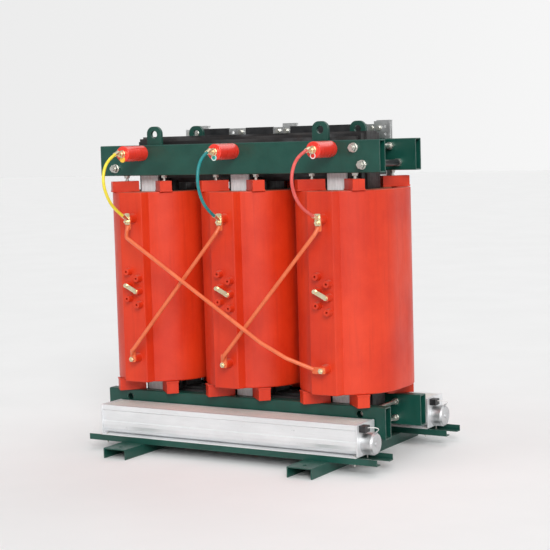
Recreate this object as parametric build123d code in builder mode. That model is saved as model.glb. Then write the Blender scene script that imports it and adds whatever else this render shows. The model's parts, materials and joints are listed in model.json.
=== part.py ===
from build123d import *
import os
from math import sqrt, tan, acos, degrees

os.makedirs("parts", exist_ok=True)

# ---------------------------------------------------------------- main sizes (mm)
pitch = 460.0                      # spacing of the three limbs
datum = 20.0                       # the middle limb stands this far left of the origin,
                                   # which is the bottom centre of the whole outline
phases = {"a": -pitch, "b": 0.0, "c": pitch}

coil_z0, coil_z1 = 297.0, 1108.0   # ends of the windings
coil_h = coil_z1 - coil_z0
coil_s = 90.0                      # straight run of the oval windings, front to rear
hv_ro, hv_ri = 215.0, 163.0        # high-voltage winding, outer and inner end radius
lv_ro, lv_ri = 138.0, 108.0        # low-voltage winding
panel_w, panel_y = 115.0, -284.0   # raised terminal panel on the front of each winding

yoke_top_z, yoke_bot_z = 1248.0, 158.0
yoke_extra = 14.0                  # the upper yoke is this much deeper than the limbs, on its underside
# laminated stack: (inner y, outer y, width)
steps = ((0.0, 45.0, 184.0), (45.0, 80.0, 168.0), (80.0, 105.0, 144.0), (105.0, 125.0, 112.0))

beam_l, beam_t, beam_h, beam_wall = 1360.0, 50.0, 130.0, 5.0
beam_in = 136.0                    # inner face of each clamp
beam_mid = beam_in + beam_t / 2
up_z0, lo_z0 = 1176.0, 115.0

foot_x, foot_w, foot_h, foot_l, foot_t = 447.0, 113.0, 44.0, 950.0, 5.0

term_dx = 15.0                     # terminals sit a little to the right of the limb centre
term_top_z, term_bot_z = 1000.0, 405.0
bolt_top_z, bolt_bot_z = 988.0, 403.0
boss_y = -320.0

fan_dy = 644.0                     # rear fan is the front one moved back
fan_x0, fan_x1 = -612.0, 634.0


def y_plane(x, y, z, out=-1):
    """A sketch plane that faces along -Y (out=-1) or +Y (out=1)."""
    return Plane(origin=(x, y, z), x_dir=(-out, 0, 0), z_dir=(0, out, 0))


# ---------------------------------------------------------------- core
with BuildPart() as core_lower_frame:
    for ya, yb, w in steps:
        for sy in ((1,) if ya == 0 else (1, -1)):
            yc, d = (0.0, 2 * yb) if ya == 0 else (sy * (ya + yb) / 2, yb - ya)
            with Locations((0, yc, yoke_bot_z)):
                Box(2 * pitch + w, d, w)
            leg_h = (yoke_top_z - w / 2 - yoke_extra) - yoke_bot_z
            for cx in phases.values():
                with Locations((cx, yc, yoke_bot_z + leg_h / 2)):
                    Box(w, d, leg_h)

with BuildPart() as core_upper_yoke:
    for ya, yb, w in steps:
        for sy in ((1,) if ya == 0 else (1, -1)):
            yc, d = (0.0, 2 * yb) if ya == 0 else (sy * (ya + yb) / 2, yb - ya)
            with Locations((0, yc, yoke_top_z - yoke_extra / 2)):
                Box(2 * pitch + w, d, w + yoke_extra)

with BuildPart() as yoke_insulation_pads:
    for sy in (1, -1):
        for px in (-pitch / 2, pitch / 2):
            with Locations((px, sy * 130.5, yoke_top_z), (px, sy * 130.5, 175.0)):
                Box(220, 11, 90)

with BuildPart() as limb_tie_plates:
    for cx in phases.values():
        for sy in (1, -1):
            with BuildSketch(y_plane(cx, sy * 125.0, 705.0, out=sy)):
                Rectangle(88, 1120)
            extrude(amount=11)

# ---------------------------------------------------------------- clamps
stud_up = ((566.0, 1276.0), (-566.0, 1276.0), (602.0, 1208.0), (-602.0, 1208.0))
stud_lo = ((566.0, 212.0), (-566.0, 212.0), (566.0, 144.0), (-566.0, 144.0))
press_xy = [(cx + sx * 98.0, sy * 165.0) for cx in phases.values() for sx in (1, -1) for sy in (1, -1)]


with BuildPart() as upper_clamp_front:
    with BuildSketch(Plane.YZ.offset(-beam_l / 2)):
        with Locations((-beam_mid, up_z0 + beam_h / 2)):
            RectangleRounded(beam_t, beam_h, 5)
            Rectangle(beam_t - 2 * beam_wall, beam_h - 2 * beam_wall, mode=Mode.SUBTRACT)
    extrude(amount=beam_l)
    for x, z in stud_up:
        with BuildSketch(y_plane(x, -beam_in + 1, z)):
            Circle(10.2)
        extrude(amount=beam_t + 2, mode=Mode.SUBTRACT)
    for x, y in press_xy:
        if y < 0:
            with BuildSketch(Plane.XY.offset(up_z0 - 1)):
                with Locations((x, y)):
                    Circle(8.1)
            extrude(amount=beam_wall + 2, mode=Mode.SUBTRACT)

with BuildPart() as upper_clamp_rear:
    with BuildSketch(Plane.YZ.offset(-beam_l / 2)):
        with Locations((beam_mid, up_z0 + beam_h / 2)):
            RectangleRounded(beam_t, beam_h, 5)
            Rectangle(beam_t - 2 * beam_wall, beam_h - 2 * beam_wall, mode=Mode.SUBTRACT)
    extrude(amount=beam_l)
    for x, z in stud_up:
        with BuildSketch(y_plane(x, beam_in - 1, z, out=1)):
            Circle(10.2)
        extrude(amount=beam_t + 2, mode=Mode.SUBTRACT)
    for x, y in press_xy:
        if y > 0:
            with BuildSketch(Plane.XY.offset(up_z0 - 1)):
                with Locations((x, y)):
                    Circle(8.1)
            extrude(amount=beam_wall + 2, mode=Mode.SUBTRACT)

with BuildPart() as lower_clamp_front:
    with BuildSketch(Plane.YZ.offset(-beam_l / 2)):
        with Locations((-beam_mid, lo_z0 + beam_h / 2)):
            RectangleRounded(beam_t, beam_h, 5)
            Rectangle(beam_t - 2 * beam_wall, beam_h - 2 * beam_wall, mode=Mode.SUBTRACT)
    extrude(amount=beam_l)
    for x, z in stud_lo:
        with BuildSketch(y_plane(x, -beam_in + 1, z)):
            Circle(8.2)
        extrude(amount=beam_wall + 2, mode=Mode.SUBTRACT)
        with BuildSketch(y_plane(x, -beam_in - beam_t + beam_wall + 1, z)):
            Circle(15)
        extrude(amount=beam_wall + 2, mode=Mode.SUBTRACT)

with BuildPart() as lower_clamp_rear:
    with BuildSketch(Plane.YZ.offset(-beam_l / 2)):
        with Locations((beam_mid, lo_z0 + beam_h / 2)):
            RectangleRounded(beam_t, beam_h, 5)
            Rectangle(beam_t - 2 * beam_wall, beam_h - 2 * beam_wall, mode=Mode.SUBTRACT)
    extrude(amount=beam_l)
    for x, z in stud_lo:
        with BuildSketch(y_plane(x, beam_in - 1, z, out=1)):
            Circle(8.2)
        extrude(amount=beam_wall + 2, mode=Mode.SUBTRACT)
        with BuildSketch(y_plane(x, beam_in + beam_t - beam_wall - 1, z, out=1)):
            Circle(15)
        extrude(amount=beam_wall + 2, mode=Mode.SUBTRACT)

# lifting plates, welded on top of the upper clamps
lug_w, lug_h, lug_t = 73.0, 78.0, 14.0
with BuildPart() as lifting_lugs:
    for lx in (-406.0, 406.0):
        for sy in (-1, 1):
            with BuildSketch(y_plane(lx, sy * beam_mid - lug_t / 2, up_z0 + beam_h, out=1)):
                with BuildLine():
                    Line((-lug_w / 2, 0), (lug_w / 2, 0))
                    Line((lug_w / 2, 0), (lug_w / 2, lug_h - 31))
                    RadiusArc((lug_w / 2, lug_h - 31), (lug_w / 2 - 31, lug_h), -31)
                    Line((lug_w / 2 - 31, lug_h), (-lug_w / 2 + 31, lug_h))
                    RadiusArc((-lug_w / 2 + 31, lug_h), (-lug_w / 2, lug_h - 31), -31)
                    Line((-lug_w / 2, lug_h - 31), (-lug_w / 2, 0))
                make_face()
                with Locations((0, 44)):
                    Circle(16, mode=Mode.SUBTRACT)
            extrude(amount=lug_t)

# ---------------------------------------------------------------- feet
with BuildPart() as foot_left:
    with BuildSketch(Plane.XZ.offset(foot_l / 2)):
        with Locations((-foot_x, foot_h / 2)):
            Rectangle(foot_w, foot_h)
        with Locations((-foot_x, (foot_h - foot_t) / 2)):
            Rectangle(foot_w - 2 * foot_t, foot_h - foot_t, mode=Mode.SUBTRACT)
    extrude(amount=-foot_l)
    with Locations((-foot_x, beam_mid, (foot_h + lo_z0) / 2), (-foot_x, -beam_mid, (foot_h + lo_z0) / 2)):
        Box(84, 34, lo_z0 - foot_h)
    with Locations((-foot_x, beam_mid, (foot_h + lo_z0) / 2), (-foot_x, -beam_mid, (foot_h + lo_z0) / 2)):
        Box(72, 40, lo_z0 - foot_h - 20, mode=Mode.SUBTRACT)
    with Locations((-foot_x, 430, foot_h - 4), (-foot_x, -430, foot_h - 4)):
        Cylinder(9, 20, mode=Mode.SUBTRACT)

with BuildPart() as foot_right:
    with BuildSketch(Plane.XZ.offset(foot_l / 2)):
        with Locations((foot_x, foot_h / 2)):
            Rectangle(foot_w, foot_h)
        with Locations((foot_x, (foot_h - foot_t) / 2)):
            Rectangle(foot_w - 2 * foot_t, foot_h - foot_t, mode=Mode.SUBTRACT)
    extrude(amount=-foot_l)
    with Locations((foot_x, beam_mid, (foot_h + lo_z0) / 2), (foot_x, -beam_mid, (foot_h + lo_z0) / 2)):
        Box(84, 34, lo_z0 - foot_h)
    with Locations((foot_x, beam_mid, (foot_h + lo_z0) / 2), (foot_x, -beam_mid, (foot_h + lo_z0) / 2)):
        Box(72, 40, lo_z0 - foot_h - 20, mode=Mode.SUBTRACT)
    with Locations((foot_x, 430, foot_h - 4), (foot_x, -430, foot_h - 4)):
        Cylinder(9, 20, mode=Mode.SUBTRACT)

# ---------------------------------------------------------------- tie studs and nuts
up_y = beam_in + beam_t
with BuildPart() as tie_studs:
    for x, z in stud_up:
        with BuildSketch(y_plane(x, up_y + 30, z)):
            Circle(10)
        extrude(amount=2 * up_y + 60)
    for x, z in stud_lo:
        with BuildSketch(y_plane(x, beam_in + 26, z)):
            Circle(8)
        extrude(amount=2 * beam_in + 52)

with BuildPart() as tie_nuts:
    # outer nuts and washers of the upper studs, and the inner nuts at the rear clamp
    for x, z in stud_up:
        for sy in (-1, 1):
            with BuildSketch(y_plane(x, sy * up_y, z, out=sy)):
                Circle(19)
                Circle(10.1, mode=Mode.SUBTRACT)
            extrude(amount=3)
            with BuildSketch(y_plane(x, sy * (up_y + 3), z, out=sy)):
                RegularPolygon(15, 6, major_radius=False)
                Circle(10.1, mode=Mode.SUBTRACT)
            extrude(amount=16)
        with BuildSketch(y_plane(x, beam_in, z)):
            RegularPolygon(15, 6, major_radius=False)
            Circle(10.1, mode=Mode.SUBTRACT)
        extrude(amount=14)
    for x, z in stud_lo:
        for sy in (-1, 1):
            with BuildSketch(y_plane(x, sy * (beam_in + beam_wall), z, out=sy)):
                RegularPolygon(12, 6, major_radius=False)
                Circle(8.1, mode=Mode.SUBTRACT)
            extrude(amount=13)
        with BuildSketch(y_plane(x, beam_in, z)):
            Circle(14)
            Circle(8.1, mode=Mode.SUBTRACT)
        extrude(amount=3)
        with BuildSketch(y_plane(x, beam_in - 3, z)):
            RegularPolygon(12, 6, major_radius=False)
            Circle(8.1, mode=Mode.SUBTRACT)
        extrude(amount=13)

with BuildPart() as stud_insulating_sleeves:
    for x, z in stud_up[2:]:
        with BuildSketch(y_plane(x, beam_in - 14, z)):
            Circle(13.5)
            Circle(10.1, mode=Mode.SUBTRACT)
        extrude(amount=2 * beam_in - 14)

# ---------------------------------------------------------------- windings
tap_l = 28.0
tap_left = (772.0, 715.0, 657.0)
tap_right = (744.0, 690.0, 632.0)


with BuildPart() as hv_blank:
    with BuildSketch(Plane.XY.offset(coil_z0)):
        SlotCenterToCenter(coil_s, 2 * hv_ro, rotation=90)
        with BuildLine():
            Polyline((-panel_w / 2, panel_y), (panel_w / 2, panel_y), (panel_w / 2 + 13, -250), (panel_w / 2 + 13, -120),
                     (-panel_w / 2 - 13, -120), (-panel_w / 2 - 13, -250), close=True)
        make_face()
    extrude(amount=coil_h)
    fillet(hv_blank.edges().filter_by(Axis.Z).group_by(Axis.Y)[0], 4)
    fillet(hv_blank.faces().sort_by(Axis.Z)[-1].edges(), 5)
    fillet(hv_blank.faces().sort_by(Axis.Z)[0].edges(), 5)
    with BuildSketch(Plane.XY.offset(coil_z0)):
        SlotCenterToCenter(coil_s, 2 * hv_ri, rotation=90)
    extrude(amount=coil_h, mode=Mode.SUBTRACT)
    for z in (term_top_z, term_bot_z):
        with BuildSketch(y_plane(term_dx, panel_y, z)):
            Circle(21)
        extrude(amount=panel_y - boss_y, taper=6)
    for tx, tz in [(-15.0, z) for z in tap_left] + [(35.0, z) for z in tap_right]:
        with BuildSketch(y_plane(tx, panel_y, tz)):
            Circle(17)
        extrude(amount=tap_l, taper=7)
        with BuildSketch(y_plane(tx, panel_y - tap_l, tz)):
            Circle(5)
        extrude(amount=-12, mode=Mode.SUBTRACT)

with BuildPart() as hv_coil_a:
    with Locations((phases["a"], 0, 0)):
        add(hv_blank.part)
with BuildPart() as hv_coil_b:
    add(hv_blank.part)
with BuildPart() as hv_coil_c:
    with Locations((phases["c"], 0, 0)):
        add(hv_blank.part)

with BuildPart() as lv_coil_a:
    with BuildSketch(Plane.XY.offset(coil_z0)):
        with Locations((phases["a"], 0)):
            SlotCenterToCenter(coil_s, 2 * lv_ro, rotation=90)
            SlotCenterToCenter(coil_s, 2 * lv_ri, rotation=90, mode=Mode.SUBTRACT)
    extrude(amount=coil_h)
with BuildPart() as lv_coil_b:
    with BuildSketch(Plane.XY.offset(coil_z0)):
        SlotCenterToCenter(coil_s, 2 * lv_ro, rotation=90)
        SlotCenterToCenter(coil_s, 2 * lv_ri, rotation=90, mode=Mode.SUBTRACT)
    extrude(amount=coil_h)
with BuildPart() as lv_coil_c:
    with BuildSketch(Plane.XY.offset(coil_z0)):
        with Locations((phases["c"], 0)):
            SlotCenterToCenter(coil_s, 2 * lv_ro, rotation=90)
            SlotCenterToCenter(coil_s, 2 * lv_ri, rotation=90, mode=Mode.SUBTRACT)
    extrude(amount=coil_h)

# ---------------------------------------------------------------- support blocks
blk_l, blk_w, blk_h = 115.0, 50.0, 45.0
with BuildPart() as top_support_blocks:
    for cx in phases.values():
        for sx in (1, -1):
            for sy in (1, -1):
                with BuildSketch(Plane.XY.offset(coil_z1)):
                    with Locations((cx + sx * 101.5, sy * 176.5)):
                        Rectangle(blk_l, blk_w, rotation=45 * sx * sy)
                extrude(amount=blk_h)
                with BuildSketch(Plane.XY.offset(coil_z1)):
                    with Locations((cx + sx * 101.5, sy * 176.5)):
                        Rectangle(blk_l + 4, blk_w + 4, rotation=45 * sx * sy)
                extrude(amount=6)

with BuildPart() as bottom_support_blocks:
    for cx in phases.values():
        for sx in (1, -1):
            for sy in (1, -1):
                with BuildSketch(Plane.XY.offset(coil_z0)):
                    with Locations((cx + sx * 101.5, sy * 176.5)):
                        Rectangle(blk_l, blk_w, rotation=45 * sx * sy)
                extrude(amount=-(coil_z0 - lo_z0 - beam_h))
                with BuildSketch(Plane.XY.offset(coil_z0)):
                    with Locations((cx + sx * 101.5, sy * 176.5)):
                        Rectangle(blk_l + 4, blk_w + 4, rotation=45 * sx * sy)
                extrude(amount=-6)

with BuildPart() as pressing_bolts:
    press_z = coil_z1 + blk_h
    for x, y in press_xy:
        for z, h, r in ((press_z, 3, 9), (press_z, 46, 6), (up_z0 - 3, 3, 14)):
            with BuildSketch(Plane.XY.offset(z)):
                with Locations((x, y)):
                    Circle(r)
            extrude(amount=h)
        with BuildSketch(Plane.XY.offset(up_z0 - 11)):
            with Locations((x, y)):
                RegularPolygon(11, 6, major_radius=False)
        extrude(amount=8)

# ---------------------------------------------------------------- post insulators on the front clamp
ins_z, ins_r, ins_l = 1272.0, 33.0, 138.0
ins_y0 = -up_y
ins_y1 = ins_y0 - ins_l
with BuildPart() as post_insulators:
    for cx in phases.values():
        with BuildSketch(y_plane(cx, ins_y0, ins_z)):
            Circle(ins_r)
        extrude(amount=ins_l)
    fillet(post_insulators.edges().filter_by(GeomType.CIRCLE).group_by(Axis.Y)[0], 5)

# ---------------------------------------------------------------- high-voltage leads
lead_d = 13.0
lead_pts = {
    "a": ((-378, 1270), (-425, 1252), (-466, 1206), (-474, 1148), (-450, 1090), (-412, 1046), (-362, 1016)),
    "b": ((-378, 1270), (-420, 1252), (-453, 1208), (-463, 1150), (-446, 1092), (-410, 1046), (-362, 1016)),
    "c": ((-378, 1270), (-436, 1254), (-490, 1212), (-512, 1152), (-486, 1090), (-430, 1042), (-362, 1016)),
}


def route3(k):
    cx, pts = phases[k], lead_pts[k]
    n = len(pts) - 1
    return [Vector(cx + term_dx * i / n, y, z) for i, (y, z) in enumerate(pts)]


def bend_radii(pts):
    """0.45 of the shorter run over tan(half the turn), for each inner point."""
    out = []
    for a, b, c in zip(pts, pts[1:], pts[2:]):
        u, v = b - a, c - b
        turn = acos(max(-1.0, min(1.0, u.normalized().dot(v.normalized()))))
        out.append(0.45 * min(u.length, v.length) / tan(turn / 2))
    return out


routes = {k: route3(k) for k in phases}
radii = {k: bend_radii(routes[k]) for k in phases}
for k in phases:
    print("hv_lead_" + k, "bend radii", [round(r, 1) for r in radii[k]], "diameter", lead_d)

with BuildPart() as hv_lead_a:
    with BuildLine() as la:
        FilletPolyline(*routes["a"], radius=radii["a"])
    with BuildSketch(Plane(origin=la.line @ 0, z_dir=la.line % 0)):
        Circle(lead_d / 2)
    sweep()
with BuildPart() as hv_lead_b:
    with BuildLine() as lb:
        FilletPolyline(*routes["b"], radius=radii["b"])
    with BuildSketch(Plane(origin=lb.line @ 0, z_dir=lb.line % 0)):
        Circle(lead_d / 2)
    sweep()
with BuildPart() as hv_lead_c:
    with BuildLine() as lc:
        FilletPolyline(*routes["c"], radius=radii["c"])
    with BuildSketch(Plane(origin=lc.line @ 0, z_dir=lc.line % 0)):
        Circle(lead_d / 2)
    sweep()
print("lead lengths", [round(x.wires()[0].length, 1) for x in (la, lb, lc)])

# brass terminal on the end of each insulator: hexagon, stud and crimped socket in one
with BuildPart() as insulator_terminals:
    for k, cx in phases.items():
        p0, p1 = routes[k][0], routes[k][1]
        with BuildSketch(y_plane(cx, ins_y1, ins_z)):
            Circle(16)
        extrude(amount=4)
        with BuildSketch(y_plane(cx, ins_y1 - 4, ins_z)):
            RegularPolygon(13, 6, major_radius=False)
        extrude(amount=13)
        with BuildSketch(y_plane(cx, ins_y1 - 17, ins_z)):
            Circle(9)
        extrude(amount=12)
        with BuildSketch(Plane(origin=p0, z_dir=p1 - p0)):
            Circle(9)
        extrude(amount=-26)

with BuildPart() as hv_lead_lugs:
    for k, cx in phases.items():
        p5, p4 = routes[k][-1], routes[k][-2]
        with BuildSketch(y_plane(cx + term_dx, boss_y - 5, 999.0)):
            RectangleRounded(26, 48, 5)
            with Locations((0, bolt_top_z - 999.0)):
                Circle(5.1, mode=Mode.SUBTRACT)
        extrude(amount=4)
        with BuildSketch(Plane(origin=p5, z_dir=p5 - p4)):
            Circle(8)
        extrude(amount=56)
    # the sockets end flush with the back of their palms, and leave room for the nut
    with Locations((0, boss_y - 5 + 25, 1000)):
        Box(1200, 50, 160, mode=Mode.SUBTRACT)
    for k, cx in phases.items():
        with BuildSketch(y_plane(cx + term_dx, boss_y, bolt_top_z)):
            Circle(5.1)
        extrude(amount=60, mode=Mode.SUBTRACT)
        with BuildSketch(y_plane(cx + term_dx, boss_y - 9, bolt_top_z)):
            Circle(11)
        extrude(amount=60, mode=Mode.SUBTRACT)

# ---------------------------------------------------------------- delta bars
rod_r, palm_t, palm_w = 8.0, 5.0, 26.0
xa, xb, xc = (phases[k] + term_dx for k in "abc")

with BuildPart() as delta_bar_ac:
    with BuildLine() as bar1:
        FilletPolyline((xa, boss_y - 3.5, 968), (xa + 1, -336, 944), (xa + 22, -366, 922), (222, -366, 508),
                       (335, -362, 452), (xc - 38, boss_y - 3.5, 407), radius=(14, 18, 60, 40))
    with BuildSketch(Plane(origin=bar1.line @ 0, z_dir=bar1.line % 0)):
        Circle(rod_r)
    sweep()
    with BuildSketch(y_plane(xa, boss_y, 981)):
        RectangleRounded(palm_w, 56, 6)
        with Locations((0, bolt_top_z - 981)):
            Circle(5.1, mode=Mode.SUBTRACT)
    extrude(amount=palm_t)
    with BuildSketch(y_plane(xc - 15, boss_y, bolt_bot_z)):
        RectangleRounded(58, palm_w, 6)
        with Locations((15, 0)):
            Circle(5.1, mode=Mode.SUBTRACT)
    extrude(amount=palm_t)

with BuildPart() as delta_bar_ba:
    with BuildLine() as bar2:
        FilletPolyline((xb, boss_y - 3.5, 968), (xb - 8, -341, 942), (xa + 10, -341, 440), (xa, boss_y - 3.5, 425),
                       radius=(14, 14))
    with BuildSketch(Plane(origin=bar2.line @ 0, z_dir=bar2.line % 0)):
        Circle(rod_r)
    sweep()
    with BuildSketch(y_plane(xb, boss_y, 981)):
        RectangleRounded(palm_w, 56, 6)
        with Locations((0, bolt_top_z - 981)):
            Circle(5.1, mode=Mode.SUBTRACT)
    extrude(amount=palm_t)
    with BuildSketch(y_plane(xa, boss_y, 418)):
        RectangleRounded(palm_w, 56, 6)
        with Locations((0, bolt_bot_z - 418)):
            Circle(5.1, mode=Mode.SUBTRACT)
    extrude(amount=palm_t)

with BuildPart() as delta_bar_cb:
    with BuildLine() as bar3:
        FilletPolyline((xc, boss_y - 3.5, 968), (xc - 8, -341, 942), (xb + 10, -341, 440), (xb, boss_y - 3.5, 425),
                       radius=(14, 14))
    with BuildSketch(Plane(origin=bar3.line @ 0, z_dir=bar3.line % 0)):
        Circle(rod_r)
    sweep()
    with BuildSketch(y_plane(xc, boss_y, 981)):
        RectangleRounded(palm_w, 56, 6)
        with Locations((0, bolt_top_z - 981)):
            Circle(5.1, mode=Mode.SUBTRACT)
    extrude(amount=palm_t)
    with BuildSketch(y_plane(xb, boss_y, 418)):
        RectangleRounded(palm_w, 56, 6)
        with Locations((0, bolt_bot_z - 418)):
            Circle(5.1, mode=Mode.SUBTRACT)
    extrude(amount=palm_t)

with BuildPart() as hv_terminal_bolts:
    for x in (xa, xb, xc):
        with BuildSketch(y_plane(x, boss_y, bolt_top_z)):
            Circle(5)
        extrude(amount=28)
        with BuildSketch(y_plane(x, boss_y - 9, bolt_top_z)):
            RegularPolygon(8.5, 6, major_radius=False)
        extrude(amount=9)
        with BuildSketch(y_plane(x, boss_y, bolt_bot_z)):
            Circle(5)
        extrude(amount=24)
        with BuildSketch(y_plane(x, boss_y - 5, bolt_bot_z)):
            RegularPolygon(10, 6, major_radius=False)
        extrude(amount=12)

# ---------------------------------------------------------------- tap links
with BuildPart() as tap_links:
    for cx in phases.values():
        l, r = Vector(cx - 15, panel_y - tap_l, tap_left[1]), Vector(cx + 35, panel_y - tap_l, tap_right[1])
        m = (l + r) * 0.5
        with BuildSketch(Plane(origin=m, x_dir=(r - l), z_dir=(0, -1, 0))):
            SlotCenterToCenter((r - l).length, 19)
        extrude(amount=4)

with BuildPart() as tap_bolts:
    for cx in phases.values():
        for x, z in ((cx - 15, tap_left[1]), (cx + 35, tap_right[1])):
            with BuildSketch(y_plane(x, panel_y - tap_l - 4, z)):
                RegularPolygon(7.5, 6, major_radius=False)
            extrude(amount=7)

# ---------------------------------------------------------------- phase discs
disc_y, disc_z, disc_r = ins_y1, 1249.0, 13.0
with BuildPart() as phase_disc_a:
    with BuildSketch(y_plane(phases["a"], disc_y, disc_z)):
        Circle(disc_r)
        with Locations((0, ins_z - disc_z)):
            Circle(16.2, mode=Mode.SUBTRACT)
    extrude(amount=2.5)
with BuildPart() as phase_disc_b:
    with BuildSketch(y_plane(phases["b"], disc_y, disc_z)):
        Circle(disc_r)
        with Locations((0, ins_z - disc_z)):
            Circle(16.2, mode=Mode.SUBTRACT)
    extrude(amount=2.5)
with BuildPart() as phase_disc_c:
    with BuildSketch(y_plane(phases["c"], disc_y, disc_z)):
        Circle(disc_r)
        with Locations((0, ins_z - disc_z)):
            Circle(16.2, mode=Mode.SUBTRACT)
    extrude(amount=2.5)

# ---------------------------------------------------------------- low-voltage bars at the rear
with BuildPart() as lv_phase_risers:
    for cx in phases.values():
        with BuildSketch(Plane.YZ.offset(cx - 15)):
            with BuildLine():
                Polyline((173, coil_z1), (181, coil_z1), (181, 1126), (260, 1126), (260, 1376), (302, 1376),
                         (302, 1384), (252, 1384), (252, 1134), (173, 1134), close=True)
            make_face()
        extrude(amount=70)
        with Locations((cx + 46, 284, 1380)):
            Box(22, 44, 20, mode=Mode.SUBTRACT)
        with Locations((cx - 3, 282, 1380), (cx + 23, 282, 1380)):
            Cylinder(5.5, 20, mode=Mode.SUBTRACT)

with BuildPart() as lv_neutral_risers:
    for cx in phases.values():
        with BuildSketch(Plane.YZ.offset(cx - 38)):
            with BuildLine():
                Polyline((154, coil_z1), (162, coil_z1), (162, 1150), (237, 1150), (237, 1368), (229, 1368),
                         (229, 1158), (154, 1158), close=True)
            make_face()
        extrude(amount=76)

nb_z0, nb_z1, nb_y = 1332.0, 1368.0, 225.0
nb_h, nb_zc = nb_z1 - nb_z0, (nb_z0 + nb_z1) / 2
with BuildPart() as lv_neutral_bar:
    with Locations(((-505.0 + 501.0) / 2, nb_y, nb_zc)):
        Box(1006, 8, nb_h)
    with BuildSketch(y_plane(-252, nb_y + 5, nb_zc)):
        Circle(6.5)
    extrude(amount=10, mode=Mode.SUBTRACT)

sleeve_runs = ((-410.0, -274.0), (-185.0, -46.0), (42.0, 411.0))
with BuildPart() as neutral_bar_sleeves:
    for x0, x1 in sleeve_runs:
        with BuildSketch(Plane.YZ.offset(x0)):
            with Locations((nb_y, nb_zc)):
                RectangleRounded(12, nb_h + 4, 2)
                Rectangle(8, nb_h, mode=Mode.SUBTRACT)
        extrude(amount=x1 - x0)

with BuildPart() as neutral_terminal_plate:
    with BuildSketch(y_plane(490, nb_y - 4, 1344)):
        Rectangle(74, 72)
        with Locations((18, 14), (18, -18)):
            Circle(7, mode=Mode.SUBTRACT)
    extrude(amount=8)

with BuildPart() as lv_bar_bolts:
    spots = [(-480.0, 4), (-440.0, 4), (-212.0, 4), (-20.0, 4), (20.0, 4), (437.0, 4), (474.0, 12)]
    for x, dy in spots:
        with BuildSketch(y_plane(x, nb_y - dy, nb_zc)):
            Circle(12)
        extrude(amount=2)
        with BuildSketch(y_plane(x, nb_y - dy - 2, nb_zc)):
            RegularPolygon(9, 6, major_radius=False)
        extrude(amount=8)

# ---------------------------------------------------------------- fan rails
rail_x0, rail_x1 = -676.0, 720.0
with BuildPart() as fan_rails:
    for yo, yi in ((-345.0, -205.0), (-345.0 + fan_dy, -205.0 + fan_dy)):
        for y_leg, inward in ((yo, 1), (yi, -1)):
            with BuildSketch(Plane.YZ.offset(rail_x0)):
                with BuildLine():
                    Polyline((y_leg, foot_h), (y_leg + inward * 30, foot_h), (y_leg + inward * 30, foot_h + 4),
                             (y_leg + inward * 4, foot_h + 4), (y_leg + inward * 4, foot_h + 25),
                             (y_leg, foot_h + 25), close=True)
                make_face()
            extrude(amount=rail_x1 - rail_x0)
            for sx in (-590.0, 615.0):
                with Locations((sx, y_leg + inward * 16, foot_h + 2)):
                    Cylinder(3.2, 10, mode=Mode.SUBTRACT)

# ---------------------------------------------------------------- cross-flow fans
axis_y, axis_z = -272.0, 118.0
base_z = foot_h + 25.0
shell = ((-336, 198), (-336, 178), (-331, 174), (-331, 131), (-334, 127), (-334, 112), (-329, 96), (-318, 82),
         (-302, 74), (-290, 72), (-216, 72), (-203, 84), (-196, 108), (-196, 198))
inner = ((-334, 196), (-334, 179), (-329, 175), (-329, 131.5), (-332, 127.5), (-332, 112.5), (-327.2, 97), (-316.7, 83.7),
         (-301.5, 76), (-290, 74), (-217, 74), (-204.8, 85), (-198, 109), (-198, 196))
out_y0, out_y1 = -324.0, -208.0

with BuildPart() as front_fan_housing:
    with BuildSketch(Plane.YZ.offset(fan_x0 + 4)):
        with BuildLine():
            Polyline(*shell, close=True)
        make_face()
        with BuildLine():
            Polyline(*inner, close=True)
        make_face(mode=Mode.SUBTRACT)
    extrude(amount=fan_x1 - fan_x0 - 8)
    with Locations(((fan_x0 + fan_x1) / 2, (out_y0 + out_y1) / 2, 197)):
        Box(fan_x1 - fan_x0 - 40, out_y1 - out_y0, 6, mode=Mode.SUBTRACT)
    with Locations(((fan_x0 + fan_x1) / 2, -275, base_z + 1.5)):
        Box(fan_x1 - fan_x0 - 8, 140, 3)
    for sx in (-590.0, 615.0):
        with Locations((sx, -329, base_z), (sx, -221, base_z)):
            Cylinder(3.2, 12, mode=Mode.SUBTRACT)
    # head room for the fixing screws beside the scroll
    for sx in (-590.0, 615.0):
        with Locations((sx, -329, base_z + 3 + 4), (sx, -221, base_z + 3 + 4)):
            Cylinder(7, 8, mode=Mode.SUBTRACT)

with BuildPart() as rear_fan_housing:
    with Locations((0, fan_dy, 0)):
        add(front_fan_housing.part)

with BuildPart() as front_fan_outlet_mesh:
    with Locations(((fan_x0 + fan_x1) / 2, (out_y0 + out_y1) / 2, 196.5)):
        Box(fan_x1 - fan_x0 - 40, out_y1 - out_y0, 3)
with BuildPart() as rear_fan_outlet_mesh:
    with Locations((0, fan_dy, 0)):
        add(front_fan_outlet_mesh.part)

with BuildPart() as front_fan_end_plates:
    for x0 in (fan_x0, fan_x1 - 4):
        with BuildSketch(Plane.YZ.offset(x0)):
            with Locations((-267, (72 + 200) / 2)):
                RectangleRounded(150, 128, 6)
            with Locations((axis_y, axis_z)):
                Circle(5.05, mode=Mode.SUBTRACT)
        extrude(amount=4)
with BuildPart() as rear_fan_end_plates:
    with Locations((0, fan_dy, 0)):
        add(front_fan_end_plates.part)

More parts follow.
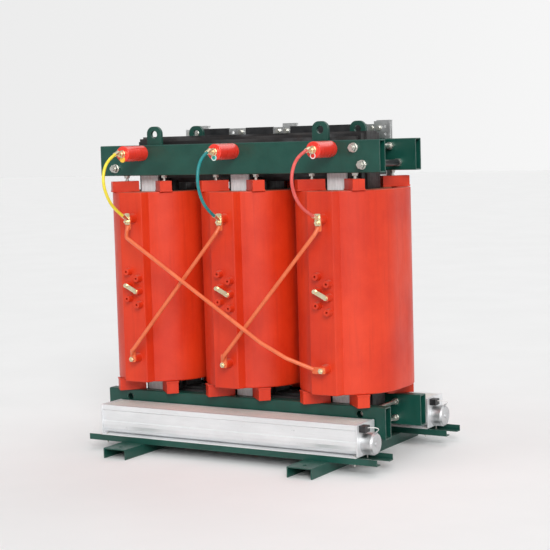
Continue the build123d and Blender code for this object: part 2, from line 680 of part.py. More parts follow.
imp_x0, imp_x1 = fan_x0 + 12, fan_x1 - 12
with BuildPart() as front_fan_impeller:
    with BuildSketch(Plane.YZ.offset(fan_x0 - 2)):
        with Locations((axis_y, axis_z)):
            Circle(5)
    extrude(amount=fan_x1 - fan_x0 + 22)
    for i in range(7):
        with BuildSketch(Plane.YZ.offset(imp_x0 + i * (imp_x1 - imp_x0 - 2) / 6)):
            with Locations((axis_y, axis_z)):
                Circle(36)
        extrude(amount=2)
    with BuildSketch(Plane.YZ.offset(imp_x0)):
        with Locations((axis_y, axis_z)):
            with PolarLocations(31, 18):
                Rectangle(9, 1.6, rotation=35)
    extrude(amount=imp_x1 - imp_x0)
with BuildPart() as rear_fan_impeller:
    with Locations((0, fan_dy, 0)):
        add(front_fan_impeller.part)

# motor can with its face, hub and cable gland
wire_d = 3.4
wire_pts = [Vector(*p) for p in ((662, -302, 186), (678, -302, 188), (696, -294, 187), (701, -279, 177), (687, -273, 168))]
wire_radii = bend_radii(wire_pts)
print("fan_wire bend radii", [round(r, 1) for r in wire_radii], "diameter", wire_d)
with BuildPart() as front_fan_motor:
    with BuildSketch(Plane.YZ.offset(fan_x1)):
        with Locations((axis_y, axis_z)):
            Circle(45)
    extrude(amount=42)
    with BuildSketch(Plane.YZ.offset(fan_x1 + 42)):
        with Locations((axis_y, axis_z)):
            Circle(43)
    extrude(amount=8, taper=20)
    with BuildSketch(Plane.YZ.offset(fan_x1 + 50)):
        with Locations((axis_y, axis_z)):
            Circle(10)
    extrude(amount=3)
    with BuildSketch(Plane(origin=wire_pts[-1], z_dir=wire_pts[-1] - wire_pts[-2])):
        Circle(3.2)
    extrude(amount=14)
    with BuildSketch(Plane.YZ.offset(fan_x1)):
        with Locations((axis_y, axis_z)):
            Circle(5.05)
    extrude(amount=22, mode=Mode.SUBTRACT)
with BuildPart() as rear_fan_motor:
    with Locations((0, fan_dy, 0)):
        add(front_fan_motor.part)

with BuildPart() as fan_terminal_boxes:
    for dy in (0, fan_dy):
        with Locations((648, -304 + dy, 182)):
            Box(28, 40, 26)

with BuildPart() as fan_wire_front:
    with BuildLine() as fw:
        FilletPolyline(*wire_pts, radius=wire_radii)
    with BuildSketch(Plane(origin=fw.line @ 0, z_dir=fw.line % 0)):
        Circle(wire_d / 2)
    sweep()
print("fan wire length", round(fw.wires()[0].length, 1))
with BuildPart() as fan_wire_rear:
    with Locations((0, fan_dy, 0)):
        add(fan_wire_front.part)

with BuildPart() as fan_mount_screws:
    for dy in (0, fan_dy):
        for sx in (-590.0, 615.0):
            for y in (-329.0, -221.0):
                with BuildSketch(Plane.XY.offset(base_z + 3)):
                    with Locations((sx, y + dy)):
                        RegularPolygon(5, 6, major_radius=False)
                extrude(amount=4)
                with BuildSketch(Plane.XY.offset(base_z + 3)):
                    with Locations((sx, y + dy)):
                        Circle(3)
                extrude(amount=-(base_z + 3 - 33))
                with BuildSketch(Plane.XY.offset(foot_h)):
                    with Locations((sx, y + dy)):
                        RegularPolygon(5, 6, major_radius=False)
                extrude(amount=-5)

# ---------------------------------------------------------------- write the pieces
pieces = {
    "core_lower_frame": core_lower_frame, "core_upper_yoke": core_upper_yoke,
    "yoke_insulation_pads": yoke_insulation_pads, "limb_tie_plates": limb_tie_plates,
    "upper_clamp_front": upper_clamp_front, "upper_clamp_rear": upper_clamp_rear,
    "lower_clamp_front": lower_clamp_front, "lower_clamp_rear": lower_clamp_rear,
    "lifting_lugs": lifting_lugs, "foot_left": foot_left, "foot_right": foot_right,
    "tie_studs": tie_studs, "tie_nuts": tie_nuts, "stud_insulating_sleeves": stud_insulating_sleeves,
    "hv_coil_a": hv_coil_a, "hv_coil_b": hv_coil_b, "hv_coil_c": hv_coil_c,
    "lv_coil_a": lv_coil_a, "lv_coil_b": lv_coil_b, "lv_coil_c": lv_coil_c,
    "top_support_blocks": top_support_blocks, "bottom_support_blocks": bottom_support_blocks,
    "pressing_bolts": pressing_bolts, "post_insulators": post_insulators,
    "insulator_terminals": insulator_terminals, "phase_disc_a": phase_disc_a,
    "phase_disc_b": phase_disc_b, "phase_disc_c": phase_disc_c,
    "hv_lead_a": hv_lead_a, "hv_lead_b": hv_lead_b, "hv_lead_c": hv_lead_c,
    "hv_lead_lugs": hv_lead_lugs, "hv_terminal_bolts": hv_terminal_bolts,
    "delta_bar_ac": delta_bar_ac, "delta_bar_ba": delta_bar_ba, "delta_bar_cb": delta_bar_cb,
    "tap_links": tap_links, "tap_bolts": tap_bolts,
    "lv_phase_risers": lv_phase_risers, "lv_neutral_risers": lv_neutral_risers,
    "lv_neutral_bar": lv_neutral_bar, "neutral_bar_sleeves": neutral_bar_sleeves,
    "neutral_terminal_plate": neutral_terminal_plate, "lv_bar_bolts": lv_bar_bolts,
    "fan_rails": fan_rails,
    "front_fan_housing": front_fan_housing, "rear_fan_housing": rear_fan_housing,
    "front_fan_outlet_mesh": front_fan_outlet_mesh, "rear_fan_outlet_mesh": rear_fan_outlet_mesh,
    "front_fan_end_plates": front_fan_end_plates, "rear_fan_end_plates": rear_fan_end_plates,
    "front_fan_impeller": front_fan_impeller, "rear_fan_impeller": rear_fan_impeller,
    "front_fan_motor": front_fan_motor, "rear_fan_motor": rear_fan_motor,
    "fan_terminal_boxes": fan_terminal_boxes, "fan_wire_front": fan_wire_front,
    "fan_wire_rear": fan_wire_rear, "fan_mount_screws": fan_mount_screws,
}
for label, b in pieces.items():
    with BuildPart() as placed:
        with Locations((-datum, 0, 0)):
            add(b.part)
    placed.part.label = label
    export_step(placed.part, "parts/" + label + ".step")
print(len(pieces), "pieces")
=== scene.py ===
import json
import math
import random

import bmesh
import bpy
from mathutils import Matrix, Vector


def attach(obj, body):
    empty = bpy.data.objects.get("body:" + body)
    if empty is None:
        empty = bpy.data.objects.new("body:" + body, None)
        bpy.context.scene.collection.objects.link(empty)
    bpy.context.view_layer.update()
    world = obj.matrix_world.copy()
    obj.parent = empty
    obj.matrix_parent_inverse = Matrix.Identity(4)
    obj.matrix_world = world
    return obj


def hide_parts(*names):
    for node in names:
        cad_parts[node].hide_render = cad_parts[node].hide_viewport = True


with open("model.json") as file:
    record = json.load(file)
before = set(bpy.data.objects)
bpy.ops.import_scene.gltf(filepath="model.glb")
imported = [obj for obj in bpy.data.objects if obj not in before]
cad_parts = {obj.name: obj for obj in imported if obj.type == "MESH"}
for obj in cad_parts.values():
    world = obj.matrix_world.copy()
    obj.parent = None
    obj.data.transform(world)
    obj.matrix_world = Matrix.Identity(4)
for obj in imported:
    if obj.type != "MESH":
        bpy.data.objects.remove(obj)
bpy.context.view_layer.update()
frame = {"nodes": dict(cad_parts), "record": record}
nodes = frame["nodes"]
scene = bpy.context.scene
rng = random.Random(7)
DATUM = 0.020                     # the row frame sits 20 mm right of the middle limb
PHASE = {"a": -0.460, "b": 0.0, "c": 0.460}
FAN_DY = 0.644


# ---------------------------------------------------------------- camera
def look(az, pitch, roll):
    a, p, r = map(math.radians, (az, pitch, roll))
    back = Vector((math.sin(a) * math.cos(p), -math.cos(a) * math.cos(p), math.sin(p)))
    right = (-back).cross(Vector((0, 0, 1))).normalized()
    up = right.cross(-back)
    x = right * math.cos(r) + up * math.sin(r)
    y = -right * math.sin(r) + up * math.cos(r)
    return x, y, back


cam_data = bpy.data.cameras.new("camera")
cam_data.sensor_fit = "HORIZONTAL"
cam_data.sensor_width = 36.0
cam_data.lens = 1518.67 / 550.0 * 36.0
cam_data.clip_end = 200.0
cam = bpy.data.objects.new("camera", cam_data)
scene.collection.objects.link(cam)
cx_, cy_, cz_ = look(31.093, 5.2434, -1.6208)
m = Matrix.Identity(4)
for i in range(3):
    m[i][0], m[i][1], m[i][2] = cx_[i], cy_[i], cz_[i]
m[0][3], m[1][3], m[2][3] = 3.3653, -5.4865, 1.3314
cam.matrix_world = m
scene.camera = cam


# ---------------------------------------------------------------- node helpers
class Mat:
    """A material with a small set of building steps; every pattern is in the part's own metres."""

    def __init__(self, name):
        self.m = bpy.data.materials.new(name)
        self.m.use_nodes = True
        self.t = self.m.node_tree
        self.b = self.t.nodes["Principled BSDF"]
        self.coord = self.t.nodes.new("ShaderNodeTexCoord").outputs["Object"]
        self.colour = None
        self.rough = None
        self.normal = None
        self._geo = None

    def n(self, kind, **kw):
        node = self.t.nodes.new(kind)
        for k, v in kw.items():
            setattr(node, k, v)
        return node

    def link(self, a, b):
        self.t.links.new(a, b)

    def geo(self):
        if self._geo is None:
            self._geo = self.n("ShaderNodeNewGeometry")
        return self._geo

    def mapped(self, scale=(1, 1, 1), rot=(0, 0, 0), loc=(0, 0, 0)):
        mp = self.n("ShaderNodeMapping")
        mp.inputs["Scale"].default_value = scale
        mp.inputs["Rotation"].default_value = rot
        mp.inputs["Location"].default_value = loc
        self.link(self.coord, mp.inputs["Vector"])
        return mp.outputs["Vector"]

    def noise(self, scale, detail=4.0, rough=0.55, stretch=(1, 1, 1), loc=(0, 0, 0), distortion=0.0):
        t = self.n("ShaderNodeTexNoise")
        t.inputs["Scale"].default_value = scale
        t.inputs["Detail"].default_value = detail
        t.inputs["Roughness"].default_value = rough
        t.inputs["Distortion"].default_value = distortion
        self.link(self.mapped(stretch, loc=loc), t.inputs["Vector"])
        return t.outputs["Fac"]

    def voronoi(self, scale, feature="F1", stretch=(1, 1, 1)):
        t = self.n("ShaderNodeTexVoronoi", feature=feature)
        t.inputs["Scale"].default_value = scale
        self.link(self.mapped(stretch), t.inputs["Vector"])
        return t.outputs["Distance"]

    def band(self, value, a, b, lo=0.0, hi=1.0, smooth=True):
        r = self.n("ShaderNodeMapRange")
        if smooth:
            r.interpolation_type = "SMOOTHSTEP"
        for k, v in (("From Min", a), ("From Max", b), ("To Min", lo), ("To Max", hi)):
            r.inputs[k].default_value = v
        self.link(value, r.inputs["Value"])
        return r.outputs["Result"]

    def op(self, kind, a, b=None, clamp=False):
        o = self.n("ShaderNodeMath", operation=kind, use_clamp=clamp)
        for i, v in enumerate((a, b)):
            if v is None:
                continue
            if isinstance(v, (int, float)):
                o.inputs[i].default_value = v
            else:
                self.link(v, o.inputs[i])
        return o.outputs[0]

    def mix(self, fac, a, b):
        x = self.n("ShaderNodeMix", data_type="RGBA")
        for v, s in ((fac, x.inputs[0]), (a, x.inputs[6]), (b, x.inputs[7])):
            if isinstance(v, (int, float)):
                s.default_value = v
            elif isinstance(v, (tuple, list)):
                s.default_value = tuple(v) + ((1.0,) if len(v) == 3 else ())
            else:
                self.link(v, s)
        return x.outputs[2]

    def sep(self, vec):
        s = self.n("ShaderNodeSeparateXYZ")
        self.link(vec, s.inputs[0])
        return s.outputs

    def bump(self, height, strength, distance):
        b = self.n("ShaderNodeBump")
        b.inputs["Strength"].default_value = strength
        b.inputs["Distance"].default_value = distance
        self.link(height, b.inputs["Height"])
        if self.normal is not None:
            self.link(self.normal, b.inputs["Normal"])
        self.normal = b.outputs["Normal"]

    def rounded(self, radius, samples=4):
        b = self.n("ShaderNodeBevel", samples=samples)
        b.inputs["Radius"].default_value = radius
        self.normal = b.outputs["Normal"]
        return self.normal

    def edges(self, radius, lo=0.012, hi=0.10):
        """0 on flats, 1 along sharp edges, broken up by noise."""
        bev = self.n("ShaderNodeBevel", samples=4)
        bev.inputs["Radius"].default_value = radius
        d = self.n("ShaderNodeVectorMath", operation="DOT_PRODUCT")
        self.link(bev.outputs["Normal"], d.inputs[0])
        self.link(self.geo().outputs["Normal"], d.inputs[1])
        e = self.op("SUBTRACT", 1.0, d.outputs["Value"])
        e = self.band(e, lo, hi)
        return self.op("MULTIPLY", e, self.band(self.noise(55, 5, 0.65), 0.40, 0.62))

    def upward(self):
        z = self.sep(self.geo().outputs["Normal"])[2]
        return self.band(z, 0.55, 0.98)

    def done(self, colour, rough, metallic=0.0, coat=0.0, coat_rough=0.1, spec=0.5, ior=1.5, sheen=0.0):
        b = self.b
        if isinstance(colour, (tuple, list)):
            b.inputs["Base Color"].default_value = tuple(colour) + (1.0,)
        else:
            self.link(colour, b.inputs["Base Color"])
        if isinstance(rough, (int, float)):
            b.inputs["Roughness"].default_value = rough
        else:
            self.link(rough, b.inputs["Roughness"])
        if isinstance(metallic, (int, float)):
            b.inputs["Metallic"].default_value = metallic
        else:
            self.link(metallic, b.inputs["Metallic"])
        b.inputs["Coat Weight"].default_value = coat
        b.inputs["Coat Roughness"].default_value = coat_rough
        b.inputs["Specular IOR Level"].default_value = spec
        b.inputs["IOR"].default_value = ior
        b.inputs["Sheen Weight"].default_value = sheen
        if self.normal is not None:
            self.link(self.normal, b.inputs["Normal"])
        return self.m


def cast_resin(name, dark, light, rough=(0.38, 0.52), coat=0.06):
    k = Mat(name)
    cloud = k.band(k.noise(3.2, 5, 0.6), 0.30, 0.70)
    col = k.mix(cloud, dark, light)
    streak = k.band(k.noise(9, 4, 0.6, stretch=(6, 6, 0.35)), 0.45, 0.75, 0.0, 0.32)
    col = k.mix(streak, col, tuple(c * 0.80 for c in dark))
    speck = k.band(k.noise(420, 2, 0.5), 0.66, 0.74, 0.0, 0.35)
    col = k.mix(speck, col, tuple(min(1.0, c * 1.35 + 0.03) for c in light))
    wear = k.edges(0.0035)
    col = k.mix(k.op("MULTIPLY", wear, 0.35), col, tuple(min(1.0, c * 1.25 + 0.04) for c in light))
    dust = k.op("MULTIPLY", k.upward(), k.band(k.noise(24, 5, 0.6), 0.35, 0.75, 0.10, 0.45))
    col = k.mix(dust, col, (0.42, 0.26, 0.20))
    r = k.band(k.noise(14, 6, 0.65, stretch=(1, 1, 0.5)), 0.3, 0.7, rough[0], rough[1])
    k.rounded(0.0022)
    k.bump(k.noise(5.0, 3, 0.5, stretch=(1, 1, 0.45)), 0.22, 0.010)
    k.bump(k.noise(330, 3, 0.5), 0.10, 0.0006)
    return k.done(col, r, coat=coat, coat_rough=0.22, spec=0.42)


def enamel(name, dark, light, chip=(0.16, 0.19, 0.17), rough=(0.30, 0.48)):
    k = Mat(name)
    cloud = k.band(k.noise(5.5, 5, 0.6), 0.32, 0.68)
    col = k.mix(cloud, dark, light)
    run = k.band(k.noise(16, 3, 0.6, stretch=(2.5, 2.5, 0.5)), 0.5, 0.8, 0.0, 0.30)
    col = k.mix(run, col, tuple(c * 0.72 for c in dark))
    wear = k.edges(0.0022)
    col = k.mix(k.op("MULTIPLY", wear, 0.85), col, chip)
    chips = k.op("MULTIPLY", k.band(k.noise(95, 4, 0.7), 0.70, 0.74), k.band(k.noise(6, 3, 0.5), 0.55, 0.7))
    col = k.mix(k.op("MULTIPLY", chips, 0.6), col, chip)
    dust = k.op("MULTIPLY", k.upward(), k.band(k.noise(19, 5, 0.6), 0.35, 0.75, 0.06, 0.34))
    col = k.mix(dust, col, (0.10, 0.15, 0.13))
    r = k.band(k.noise(22, 5, 0.6), 0.3, 0.7, rough[0], rough[1])
    k.rounded(0.0016)
    k.bump(k.noise(260, 3, 0.55), 0.16, 0.0006)
    k.bump(k.noise(18, 3, 0.5), 0.10, 0.003)
    return k.done(col, r, coat=0.10, coat_rough=0.25)


def laminated(name):
    k = Mat(name)
    sheets = k.noise(900, 2, 0.5, stretch=(0.004, 1, 0.004))
    packs = k.noise(150, 3, 0.6, stretch=(0.006, 1, 0.006))
    line = k.band(sheets, 0.40, 0.62)
    col = k.mix(line, (0.012, 0.011, 0.012), (0.055, 0.052, 0.052))
    bare = k.op("MULTIPLY", k.band(packs, 0.56, 0.70), k.band(k.noise(7, 4, 0.6, stretch=(1, 12, 1)), 0.45, 0.7))
    col = k.mix(k.op("MULTIPLY", bare, 0.75), col, (0.24, 0.24, 0.25))
    varnish = k.band(k.noise(26, 5, 0.6), 0.45, 0.75, 0.0, 0.5)
    col = k.mix(varnish, col, (0.035, 0.022, 0.018))
    dust = k.op("MULTIPLY", k.upward(), k.band(k.noise(30, 5, 0.6), 0.4, 0.75, 0.0, 0.28))
    col = k.mix(dust, col, (0.11, 0.10, 0.10))
    r = k.band(k.noise(40, 4, 0.6), 0.3, 0.7, 0.36, 0.62)
    k.rounded(0.001)
    k.bump(sheets, 0.35, 0.0009)
    k.bump(k.noise(45, 4, 0.6), 0.15, 0.0015)
    return k.done(col, r)


def metal(name, colour, dark, rough=(0.24, 0.46), stretch=(1, 1, 1), scratch=0.12, wear_radius=0.0012, tarnish=0.35, metallic=1.0):
    k = Mat(name)
    col = k.mix(k.band(k.noise(28, 5, 0.62), 0.32, 0.70, 0.0, tarnish), colour, dark)
    fine = k.noise(620, 2, 0.55, stretch=stretch)
    col = k.mix(k.band(fine, 0.45, 0.70, 0.0, 0.22), col, tuple(c * 0.82 for c in colour))
    spots = k.band(k.noise(170, 3, 0.6), 0.68, 0.76, 0.0, 0.5)
    col = k.mix(spots, col, dark)
    wear = k.edges(wear_radius)
    col = k.mix(k.op("MULTIPLY", wear, 0.6), col, tuple(min(1.0, c * 1.25 + 0.05) for c in colour))
    r = k.op("ADD", k.band(k.noise(34, 5, 0.6), 0.3, 0.7, rough[0], rough[1]), k.band(fine, 0.3, 0.7, 0.0, 0.10))
    k.rounded(0.0008)
    k.bump(fine, scratch, 0.0004)
    return k.done(col, r, metallic=metallic)


def sheet_metal(name, colour, dark):
    """Thin bright sheet: fine drawing marks along X, shallow oil canning, and hand marks."""
    k = Mat(name)
    draw = k.noise(700, 3, 0.6, stretch=(0.012, 1, 1))
    col = k.mix(k.band(k.noise(7, 5, 0.62, stretch=(0.6, 1, 1.4)), 0.30, 0.72, 0.0, 0.55), colour, dark)
    col = k.mix(k.band(draw, 0.45, 0.70, 0.0, 0.28), col, tuple(c * 0.80 for c in colour))
    hand = k.op("MULTIPLY", k.band(k.noise(60, 5, 0.7), 0.60, 0.72), k.band(k.noise(4, 3, 0.5), 0.5, 0.65))
    col = k.mix(k.op("MULTIPLY", hand, 0.35), col, tuple(c * 0.62 for c in dark))
    wear = k.edges(0.0016)
    col = k.mix(k.op("MULTIPLY", wear, 0.6), col, (0.92, 0.93, 0.93))
    r = k.op("ADD", k.band(k.noise(11, 5, 0.6), 0.3, 0.7, 0.26, 0.44), k.band(draw, 0.3, 0.7, 0.0, 0.12))
    k.rounded(0.0014)
    k.bump(draw, 0.10, 0.0003)
    k.bump(k.noise(6.5, 2, 0.5, stretch=(0.9, 2.2, 2.2)), 0.35, 0.007)
    return k.done(col, r, metallic=0.45)


def plastic(name, colour, other, rough=(0.32, 0.5), grain=420, strength=0.12, coat=0.0, dusty=0.25):
    k = Mat(name)
    col = k.mix(k.band(k.noise(24, 5, 0.6), 0.3, 0.7), colour, other)
    dust = k.op("MULTIPLY", k.upward(), k.band(k.noise(32, 5, 0.6), 0.4, 0.75, 0.0, dusty))
    col = k.mix(dust, col, (0.45, 0.42, 0.38))
    wear = k.edges(0.0014)
    col = k.mix(k.op("MULTIPLY", wear, 0.4), col, tuple(min(1.0, c * 1.2 + 0.06) for c in other))
    r = k.band(k.noise(60, 4, 0.6), 0.3, 0.7, rough[0], rough[1])
    k.rounded(0.0009)
    k.bump(k.noise(grain, 3, 0.55), strength, 0.0005)
    return k.done(col, r, coat=coat, coat_rough=0.12)


def sheath(name, colour, other):
    """Silicone cable sheath: soft gloss, fine surface grain and thumb marks."""
    k = Mat(name)
    col = k.mix(k.band(k.noise(38, 4, 0.6), 0.3, 0.7), colour, other)
    grime = k.band(k.noise(110, 5, 0.65), 0.58, 0.78, 0.0, 0.35)
    col = k.mix(grime, col, tuple(c * 0.55 for c in colour))
    r = k.band(k.noise(70, 4, 0.6), 0.3, 0.7, 0.30, 0.46)
    k.bump(k.noise(240, 3, 0.55), 0.16, 0.0005)
    return k.done(col, r, coat=0.12, coat_rough=0.25)


def shrink(name, colour, other):
    """Heat-shrunk sleeve over a bar: small puckers and a few tight wrinkles."""
    k = Mat(name)
    col = k.mix(k.band(k.noise(20, 4, 0.6), 0.3, 0.7), colour, other)
    wr = k.noise(120, 4, 0.6, stretch=(1, 1, 2.6), distortion=0.6)
    col = k.mix(k.band(wr, 0.55, 0.72, 0.0, 0.35), col, tuple(c * 0.66 for c in colour))
    r = k.band(k.noise(60, 4, 0.6), 0.3, 0.7, 0.34, 0.50)
    k.bump(wr, 0.25, 0.0009)
    k.bump(k.noise(500, 2, 0.5), 0.08, 0.0003)
    return k.done(col, r, coat=0.10, coat_rough=0.3)


def board(name):
    """Pressed insulating board: off-white, long fibres, browned at its edges."""
    k = Mat(name)
    fibre = k.noise(260, 4, 0.65, stretch=(1, 1, 0.12))
    col = k.mix(k.band(fibre, 0.35, 0.68), (0.70, 0.72, 0.73), (0.86, 0.88, 0.89))
    col = k.mix(k.band(k.noise(12, 5, 0.6), 0.5, 0.8, 0.0, 0.4), col, (0.52, 0.50, 0.46))
    col = k.mix(k.op("MULTIPLY", k.edges(0.002), 0.5), col, (0.50, 0.46, 0.40))
    r = k.band(k.noise(80, 4, 0.6), 0.3, 0.7, 0.48, 0.70)
    k.rounded(0.001)
    k.bump(fibre, 0.22, 0.0006)
    return k.done(col, r)


def winding(name):
    """Foil winding in cured resin: glassy brown-red skin with horizontal band marks."""
    k = Mat(name)
    turns = k.noise(60, 3, 0.6, stretch=(0.05, 0.05, 1))
    col = k.mix(k.band(turns, 0.35, 0.68), (0.26, 0.085, 0.04), (0.42, 0.15, 0.07))
    weave = k.noise(420, 2, 0.5)
    col = k.mix(k.band(weave, 0.5, 0.72, 0.0, 0.3), col, (0.52, 0.30, 0.16))
    r = k.band(k.noise(30, 4, 0.6), 0.3, 0.7, 0.34, 0.56)
    k.rounded(0.0018)
    k.bump(turns, 0.25, 0.002)
    k.bump(weave, 0.18, 0.0006)
    return k.done(col, r)


def grille(name):
    """Fine woven outlet mesh in off-white, with painted shade: the dark space behind each hole is painted as darker
    colour on upward faces.
    """
    k = Mat(name)
    x, y, z = k.sep(k.coord)
    wave = []
    for axis, pitch in ((x, 0.0042), (y, 0.0042)):
        w = k.op("SINE", k.op("MULTIPLY", axis, 2 * math.pi / pitch))
        wave.append(k.op("ABSOLUTE", w))
    wire = k.op("MAXIMUM", *[k.band(w, 0.55, 0.95) for w in wave])
    col = k.mix(k.noise(30, 4, 0.6), (0.76, 0.75, 0.70), (0.88, 0.88, 0.84))
    up = k.upward()
    # painted shade: the gaps between the wires are darkened on upward faces to stand in for the shade inside the
    # housing
    painted_hole_shade = k.op("MULTIPLY", k.op("SUBTRACT", 1.0, wire), up)
    col = k.mix(k.op("MULTIPLY", painted_hole_shade, 0.30), col, (0.44, 0.43, 0.38))
    r = k.band(k.noise(60, 4, 0.6), 0.3, 0.7, 0.42, 0.60)
    k.bump(wire, 0.6, 0.0008)
    return k.done(col, r, metallic=0.15)


def phase_disc(name, colour, other, cx, ring):
    """Moulded phase marker: a plain coloured disc, some with a pale rim."""
    k = Mat(name)
    col = k.mix(k.band(k.noise(90, 4, 0.6), 0.3, 0.7), colour, other)
    if ring:
        x, y, z = k.sep(k.coord)
        dx = k.op("SUBTRACT", x, cx)
        dz = k.op("SUBTRACT", z, 1.249)
        rad = k.op("SQRT", k.op("ADD", k.op("MULTIPLY", dx, dx), k.op("MULTIPLY", dz, dz)))
        rim = k.op("MULTIPLY", k.band(rad, 0.0082, 0.0092), k.band(rad, 0.0118, 0.0126, 1.0, 0.0))
        col = k.mix(rim, col, (0.80, 0.80, 0.78))
    r = k.band(k.noise(120, 4, 0.6), 0.3, 0.7, 0.22, 0.36)
    k.rounded(0.0008)
    k.bump(k.noise(300, 3, 0.5), 0.08, 0.0003)
    return k.done(col, r, coat=0.3, coat_rough=0.12)


M = {
    "coil_resin": cast_resin("coil_resin", (0.57, 0.024, 0.003), (0.70, 0.044, 0.008)),
    "insulator_resin": cast_resin("insulator_resin", (0.80, 0.030, 0.016), (0.90, 0.048, 0.026), rough=(0.20, 0.32), coat=0.4),
    "green_paint": enamel("green_paint", (0.0025, 0.050, 0.036), (0.0050, 0.072, 0.052)),
    "core_steel": laminated("core_steel"),
    "insulation_board": board("insulation_board"),
    "zinc_steel": metal("zinc_steel", (0.74, 0.73, 0.68), (0.42, 0.41, 0.37), rough=(0.26, 0.44)),
    "black_sleeve": plastic("black_sleeve", (0.012, 0.012, 0.014), (0.026, 0.026, 0.028), rough=(0.30, 0.48)),
    "lv_resin": winding("lv_resin"),
    "terminal_brass": metal("terminal_brass", (0.90, 0.80, 0.56), (0.56, 0.44, 0.24), rough=(0.24, 0.42)),
    "disc_yellow": phase_disc("disc_yellow", (0.90, 0.50, 0.03), (0.95, 0.58, 0.06), PHASE["a"] - DATUM, False),
    "disc_green": phase_disc("disc_green", (0.010, 0.32, 0.27), (0.015, 0.40, 0.33), PHASE["b"] - DATUM, True),
    "disc_red": phase_disc("disc_red", (0.66, 0.020, 0.014), (0.76, 0.035, 0.022), PHASE["c"] - DATUM, True),
    "lead_yellow": sheath("lead_yellow", (0.80, 0.66, 0.03), (0.88, 0.76, 0.07)),
    "lead_green": sheath("lead_green", (0.005, 0.185, 0.195), (0.010, 0.26, 0.26)),
    "lead_red": sheath("lead_red", (0.66, 0.07, 0.06), (0.76, 0.12, 0.10)),
    "bar_sleeve": shrink("bar_sleeve", (0.70, 0.130, 0.042), (0.80, 0.170, 0.062)),
    "tinned_bar": metal("tinned_bar", (0.74, 0.75, 0.75), (0.46, 0.46, 0.45), rough=(0.26, 0.46), stretch=(0.03, 1, 1)),
    "fan_sheet": sheet_metal("fan_sheet", (0.86, 0.87, 0.88), (0.70, 0.71, 0.72)),
    "fan_mesh": grille("fan_mesh"),
    "impeller_alloy": metal("impeller_alloy", (0.72, 0.73, 0.74), (0.48, 0.48, 0.48), stretch=(0.02, 1, 1)),
    "motor_alloy": metal("motor_alloy", (0.70, 0.71, 0.72), (0.42, 0.42, 0.42), rough=(0.30, 0.50), scratch=0.2),
    "wire_sheath": sheath("wire_sheath", (0.70, 0.70, 0.68), (0.80, 0.80, 0.78)),
}

for sub in frame["record"]["subparts"]:
    o = nodes[sub["node"]]
    for s in o.material_slots:
        s.material = M[sub["material_slot"]]
    if not o.material_slots:
        o.data.materials.append(M[sub["material_slot"]])


# ---------------------------------------------------------------- cords
def make_cord(name, pts, diameter, slot, node):
    cu = bpy.data.curves.new(name, "CURVE")
    cu.dimensions = "3D"
    sp = cu.splines.new("NURBS")
    sp.points.add(len(pts) - 1)
    for p, q in zip(sp.points, pts):
        p.co = (q[0], q[1], q[2], 1.0)
    sp.order_u = 3
    sp.use_endpoint_u = True
    sp.resolution_u = 14
    cu.resolution_u = 14
    cu.bevel_depth = diameter / 2
    cu.bevel_resolution = 5
    cu.use_fill_caps = True
    o = bpy.data.objects.new(name, cu)
    scene.collection.objects.link(o)
    cu.materials.append(M[slot])
    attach(o, "transformer")
    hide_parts(node)
    return o


LEADS = {
    "a": ((-378, 1270), (-425, 1252), (-466, 1206), (-474, 1148), (-450, 1090), (-412, 1046), (-362, 1016)),
    "b": ((-378, 1270), (-420, 1252), (-453, 1208), (-463, 1150), (-446, 1092), (-410, 1046), (-362, 1016)),
    "c": ((-378, 1270), (-436, 1254), (-490, 1212), (-512, 1152), (-486, 1090), (-430, 1042), (-362, 1016)),
}
LEAD_SLOT = {"a": "lead_yellow", "b": "lead_green", "c": "lead_red"}
for k, route in LEADS.items():
    cx = PHASE[k] - DATUM
    pts = [(cx + 0.015 * i / 6, y / 1000.0, z / 1000.0) for i, (y, z) in enumerate(route)]
    make_cord("lead_" + k, pts, 0.013, LEAD_SLOT[k], "hv_lead_" + k)

WIRE = ((662, -302, 186), (678, -302, 188), (696, -294, 187), (701, -279, 177), (687, -273, 168))
for tag, dy in (("front", 0.0), ("rear", FAN_DY)):
    pts = [(x / 1000.0 - DATUM, y / 1000.0 + dy, z / 1000.0) for x, y, z in WIRE]
    make_cord("motor_wire_" + tag, pts, 0.0034, "wire_sheath", "fan_wire_" + tag)


# ---------------------------------------------------------------- floor and light
def area(name, loc, target, size, power, colour=(1, 1, 1)):
    d = bpy.data.lights.new(name, "AREA")
    d.shape = "RECTANGLE"
    d.size, d.size_y = size
    d.energy = power
    d.color = colour
    o = bpy.data.objects.new(name, d)
    scene.collection.objects.link(o)
    o.location = loc
    o.rotation_euler = (Vector(target) - Vector(loc)).to_track_quat("-Z", "Y").to_euler()
    return o


def sun(name, direction, power, angle):
    d = bpy.data.lights.new(name, "SUN")
    d.energy = power
    d.angle = math.radians(angle)
    o = bpy.data.objects.new(name, d)
    scene.collection.objects.link(o)
    o.rotation_euler = (-Vector(direction)).to_track_quat("-Z", "Y").to_euler()
    return o


def make_floor():
    bm = bmesh.new()
    n = 24
    grid = [[bm.verts.new((-40 + 80 * i / n, -40 + 80 * j / n, 0.0)) for j in range(n + 1)] for i in range(n + 1)]
    for i in range(n):
        for j in range(n):
            bm.faces.new((grid[i][j], grid[i + 1][j], grid[i + 1][j + 1], grid[i][j + 1]))
    me = bpy.data.meshes.new("floor")
    bm.to_mesh(me)
    bm.free()
    o = bpy.data.objects.new("floor", me)
    scene.collection.objects.link(o)
    k = Mat("floor_white")
    col = k.mix(k.band(k.noise(1.5, 4, 0.6), 0.3, 0.7), (0.86, 0.86, 0.86), (0.88, 0.88, 0.88))
    me.materials.append(k.done(col, 0.6, spec=0.2))
    return o


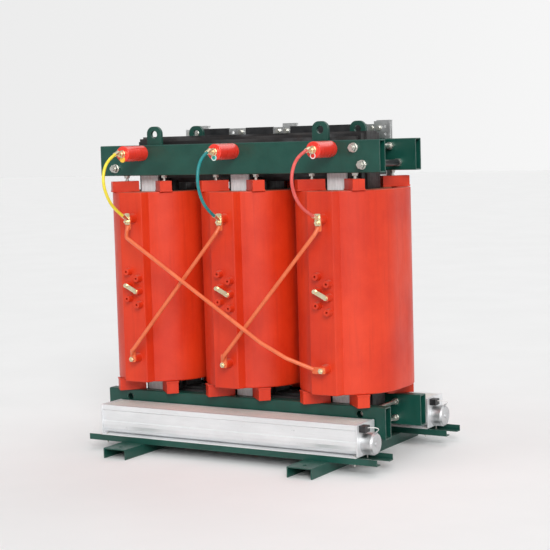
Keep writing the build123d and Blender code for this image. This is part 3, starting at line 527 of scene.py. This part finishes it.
make_floor()
world = bpy.data.worlds.new("studio")
world.use_nodes = True
wt = world.node_tree
bg = wt.nodes["Background"]
wdir = wt.nodes.new("ShaderNodeTexCoord").outputs["Generated"]
wsep = wt.nodes.new("ShaderNodeSeparateXYZ")
wt.links.new(wdir, wsep.inputs[0])
wband = wt.nodes.new("ShaderNodeMapRange")
wband.interpolation_type = "SMOOTHSTEP"
for key, v in (("From Min", 0.14), ("From Max", 0.34), ("To Min", 0.60), ("To Max", 0.0)):
    wband.inputs[key].default_value = v
wt.links.new(wsep.outputs[2], wband.inputs["Value"])
wdot = wt.nodes.new("ShaderNodeVectorMath")
wdot.operation = "DOT_PRODUCT"
wt.links.new(wdir, wdot.inputs[0])
wdot.inputs[1].default_value = (-0.5164, 0.8563, 0.0)
wside = wt.nodes.new("ShaderNodeMapRange")
wside.interpolation_type = "SMOOTHSTEP"
for key, v in (("From Min", 0.55), ("From Max", 0.93), ("To Min", 0.0), ("To Max", 1.0)):
    wside.inputs[key].default_value = v
wt.links.new(wdot.outputs["Value"], wside.inputs["Value"])
wmul = wt.nodes.new("ShaderNodeMath")
wmul.operation = "MULTIPLY_ADD"
wt.links.new(wband.outputs["Result"], wmul.inputs[0])
wt.links.new(wside.outputs["Result"], wmul.inputs[1])
wleft = wt.nodes.new("ShaderNodeMapRange")
wleft.interpolation_type = "SMOOTHSTEP"
for key, v in (("From Min", -0.9), ("From Max", 0.5), ("To Min", 0.22), ("To Max", 0.52)):
    wleft.inputs[key].default_value = v
wt.links.new(wsep.outputs[0], wleft.inputs["Value"])
wt.links.new(wleft.outputs["Result"], wmul.inputs[2])
wt.links.new(wmul.outputs[0], bg.inputs["Strength"])
bg.inputs["Color"].default_value = (1.0, 1.0, 1.0, 1.0)
scene.world = world
sun("key", (0.55, -0.78, 0.52), 2.05, 26)
sun("left", (-0.75, -0.55, 0.60), 0.30, 50)
sun("back", (0.10, 0.85, 0.70), 0.40, 45)
sun("overhead", (0.05, -0.10, 1.0), 0.55, 60)
scene.view_settings.view_transform = "Standard"
scene.view_settings.look = "None"
scene.view_settings.exposure = 0.0
